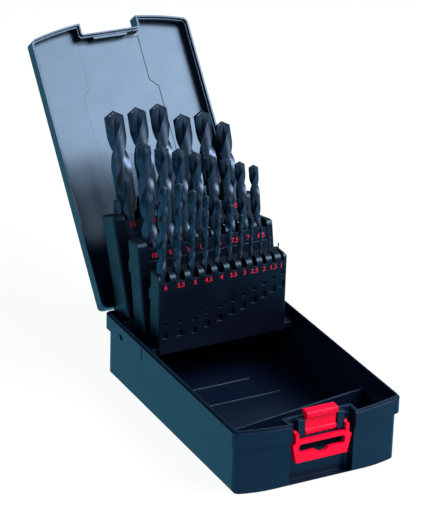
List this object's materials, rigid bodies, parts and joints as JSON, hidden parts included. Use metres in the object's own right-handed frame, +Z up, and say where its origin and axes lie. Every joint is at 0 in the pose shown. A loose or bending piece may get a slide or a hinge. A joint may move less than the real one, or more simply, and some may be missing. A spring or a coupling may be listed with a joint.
{
  "type": "drill bit case",
  "caption": "Hinged plastic case for twist drills: a shallow lid, a red snap latch with a fold-out hanger, and leaning racks that fan out of the base.",
  "frame": {"origin": "middle of the flat bottom of the base, halfway along the straight sides", "axes": "+X to the case's right as seen from the latch, +Y from the latch towards the hinge, +Z up; the lid is stored open and the racks raised"},
  "size_m": [0.115, 0.317, 0.1936],
  "materials": {
    "case_plastic": "near-black moulded plastic with a soft blue-grey sheen",
    "rack_plastic": "fine-grained black moulded plastic with red size numbers",
    "red_plastic": "bright red moulded plastic",
    "pin_steel": "plain drawn steel pin",
    "drill_steel": "black oxide on high-speed steel"
  },
  "bodies": {
    "base": {"base_shell": "case_plastic", "hinge_pin_left": "pin_steel", "hinge_pin_right": "pin_steel", "clasp_pin": "pin_steel", "rack_pin_left": "pin_steel", "rack_pin_right": "pin_steel"},
    "lid": {"lid_shell": "case_plastic"},
    "latch": {"latch": "red_plastic"},
    "hanger": {"hanger": "red_plastic"},
    "rack_back": {"rack_back": "rack_plastic"},
    "rack_middle": {"rack_middle": "rack_plastic"},
    "rack_front": {"rack_front": "rack_plastic"},
    "drill_13_0": {"drill_13_0": "drill_steel"},
    "drill_12_5": {"drill_12_5": "drill_steel"},
    "drill_12_0": {"drill_12_0": "drill_steel"},
    "drill_11_5": {"drill_11_5": "drill_steel"},
    "drill_11_0": {"drill_11_0": "drill_steel"},
    "drill_10_5": {"drill_10_5": "drill_steel"},
    "drill_10_0": {"drill_10_0": "drill_steel"},
    "drill_9_5": {"drill_9_5": "drill_steel"},
    "drill_9_0": {"drill_9_0": "drill_steel"},
    "drill_8_5": {"drill_8_5": "drill_steel"},
    "drill_8_0": {"drill_8_0": "drill_steel"},
    "drill_7_5": {"drill_7_5": "drill_steel"},
    "drill_7_0": {"drill_7_0": "drill_steel"},
    "drill_6_5": {"drill_6_5": "drill_steel"},
    "drill_6_0": {"drill_6_0": "drill_steel"},
    "drill_5_5": {"drill_5_5": "drill_steel"},
    "drill_5_0": {"drill_5_0": "drill_steel"},
    "drill_4_5": {"drill_4_5": "drill_steel"},
    "drill_4_0": {"drill_4_0": "drill_steel"},
    "drill_3_5": {"drill_3_5": "drill_steel"},
    "drill_3_0": {"drill_3_0": "drill_steel"},
    "drill_2_5": {"drill_2_5": "drill_steel"},
    "drill_2_0": {"drill_2_0": "drill_steel"},
    "drill_1_5": {"drill_1_5": "drill_steel"},
    "drill_1_0": {"drill_1_0": "drill_steel"}
  },
  "joints": [
    {"name": "lid_hinge", "type": "hinge", "parent": "base", "child": "lid", "pos_m": [0, 0.0938, 0.0429], "axis": [-1, 0, 0], "range_deg": [-128.4, 0]},
    {"name": "rack_back_hinge", "type": "hinge", "parent": "base", "child": "rack_back", "pos_m": [0, 0.069, 0.036], "axis": [-1, 0, 0], "range_deg": [-112.5, 0]},
    {"name": "rack_middle_hinge", "type": "hinge", "parent": "base", "child": "rack_middle", "pos_m": [0, 0.069, 0.036], "axis": [-1, 0, 0], "range_deg": [-101.4, 0]},
    {"name": "rack_front_hinge", "type": "hinge", "parent": "base", "child": "rack_front", "pos_m": [0, 0.069, 0.036], "axis": [-1, 0, 0], "range_deg": [-90, 0]},
    {"name": "latch_hinge", "type": "hinge", "parent": "base", "child": "latch", "pos_m": [0, -0.0914, 0.0342], "axis": [1, 0, 0], "range_deg": [0, 25]},
    {"name": "hanger_hinge", "type": "hinge", "parent": "base", "child": "hanger", "pos_m": [0, -0.0914, 0.0342], "axis": [-1, 0, 0], "range_deg": [0, 90]},
    {"name": "drill_13_0_lift", "type": "slide", "parent": "rack_back", "child": "drill_13_0", "axis": [0, 0.3827, 0.9239], "range_m": [0, 0.088]},
    {"name": "drill_12_5_lift", "type": "slide", "parent": "rack_back", "child": "drill_12_5", "axis": [0, 0.3827, 0.9239], "range_m": [0, 0.088]},
    {"name": "drill_12_0_lift", "type": "slide", "parent": "rack_back", "child": "drill_12_0", "axis": [0, 0.3827, 0.9239], "range_m": [0, 0.088]},
    {"name": "drill_11_5_lift", "type": "slide", "parent": "rack_back", "child": "drill_11_5", "axis": [0, 0.3827, 0.9239], "range_m": [0, 0.088]},
    {"name": "drill_11_0_lift", "type": "slide", "parent": "rack_back", "child": "drill_11_0", "axis": [0, 0.3827, 0.9239], "range_m": [0, 0.088]},
    {"name": "drill_10_5_lift", "type": "slide", "parent": "rack_back", "child": "drill_10_5", "axis": [0, 0.3827, 0.9239], "range_m": [0, 0.088]},
    {"name": "drill_10_0_lift", "type": "slide", "parent": "rack_middle", "child": "drill_10_0", "axis": [0, 0.1977, 0.9803], "range_m": [0, 0.071]},
    {"name": "drill_9_5_lift", "type": "slide", "parent": "rack_middle", "child": "drill_9_5", "axis": [0, 0.1977, 0.9803], "range_m": [0, 0.071]},
    {"name": "drill_9_0_lift", "type": "slide", "parent": "rack_middle", "child": "drill_9_0", "axis": [0, 0.1977, 0.9803], "range_m": [0, 0.071]},
    {"name": "drill_8_5_lift", "type": "slide", "parent": "rack_middle", "child": "drill_8_5", "axis": [0, 0.1977, 0.9803], "range_m": [0, 0.071]},
    {"name": "drill_8_0_lift", "type": "slide", "parent": "rack_middle", "child": "drill_8_0", "axis": [0, 0.1977, 0.9803], "range_m": [0, 0.071]},
    {"name": "drill_7_5_lift", "type": "slide", "parent": "rack_middle", "child": "drill_7_5", "axis": [0, 0.1977, 0.9803], "range_m": [0, 0.071]},
    {"name": "drill_7_0_lift", "type": "slide", "parent": "rack_middle", "child": "drill_7_0", "axis": [0, 0.1977, 0.9803], "range_m": [0, 0.071]},
    {"name": "drill_6_5_lift", "type": "slide", "parent": "rack_middle", "child": "drill_6_5", "axis": [0, 0.1977, 0.9803], "range_m": [0, 0.071]},
    {"name": "drill_6_0_lift", "type": "slide", "parent": "rack_front", "child": "drill_6_0", "axis": [0, 0, 1], "range_m": [0, 0.036]},
    {"name": "drill_5_5_lift", "type": "slide", "parent": "rack_front", "child": "drill_5_5", "axis": [0, 0, 1], "range_m": [0, 0.036]},
    {"name": "drill_5_0_lift", "type": "slide", "parent": "rack_front", "child": "drill_5_0", "axis": [0, 0, 1], "range_m": [0, 0.036]},
    {"name": "drill_4_5_lift", "type": "slide", "parent": "rack_front", "child": "drill_4_5", "axis": [0, 0, 1], "range_m": [0, 0.036]},
    {"name": "drill_4_0_lift", "type": "slide", "parent": "rack_front", "child": "drill_4_0", "axis": [0, 0, 1], "range_m": [0, 0.036]},
    {"name": "drill_3_5_lift", "type": "slide", "parent": "rack_front", "child": "drill_3_5", "axis": [0, 0, 1], "range_m": [0, 0.036]},
    {"name": "drill_3_0_lift", "type": "slide", "parent": "rack_front", "child": "drill_3_0", "axis": [0, 0, 1], "range_m": [0, 0.036]},
    {"name": "drill_2_5_lift", "type": "slide", "parent": "rack_front", "child": "drill_2_5", "axis": [0, 0, 1], "range_m": [0, 0.036]},
    {"name": "drill_2_0_lift", "type": "slide", "parent": "rack_front", "child": "drill_2_0", "axis": [0, 0, 1], "range_m": [0, 0.036]},
    {"name": "drill_1_5_lift", "type": "slide", "parent": "rack_front", "child": "drill_1_5", "axis": [0, 0, 1], "range_m": [0, 0.036]},
    {"name": "drill_1_0_lift", "type": "slide", "parent": "rack_front", "child": "drill_1_0", "axis": [0, 0, 1], "range_m": [0, 0.036]}
  ],
  "couplings": [
    {"joint": "rack_back_hinge", "follows": "lid_hinge", "ratio": 0.87616},
    {"joint": "rack_middle_hinge", "follows": "lid_hinge", "ratio": 0.78971},
    {"joint": "rack_front_hinge", "follows": "lid_hinge", "ratio": 0.70093}
  ]
}
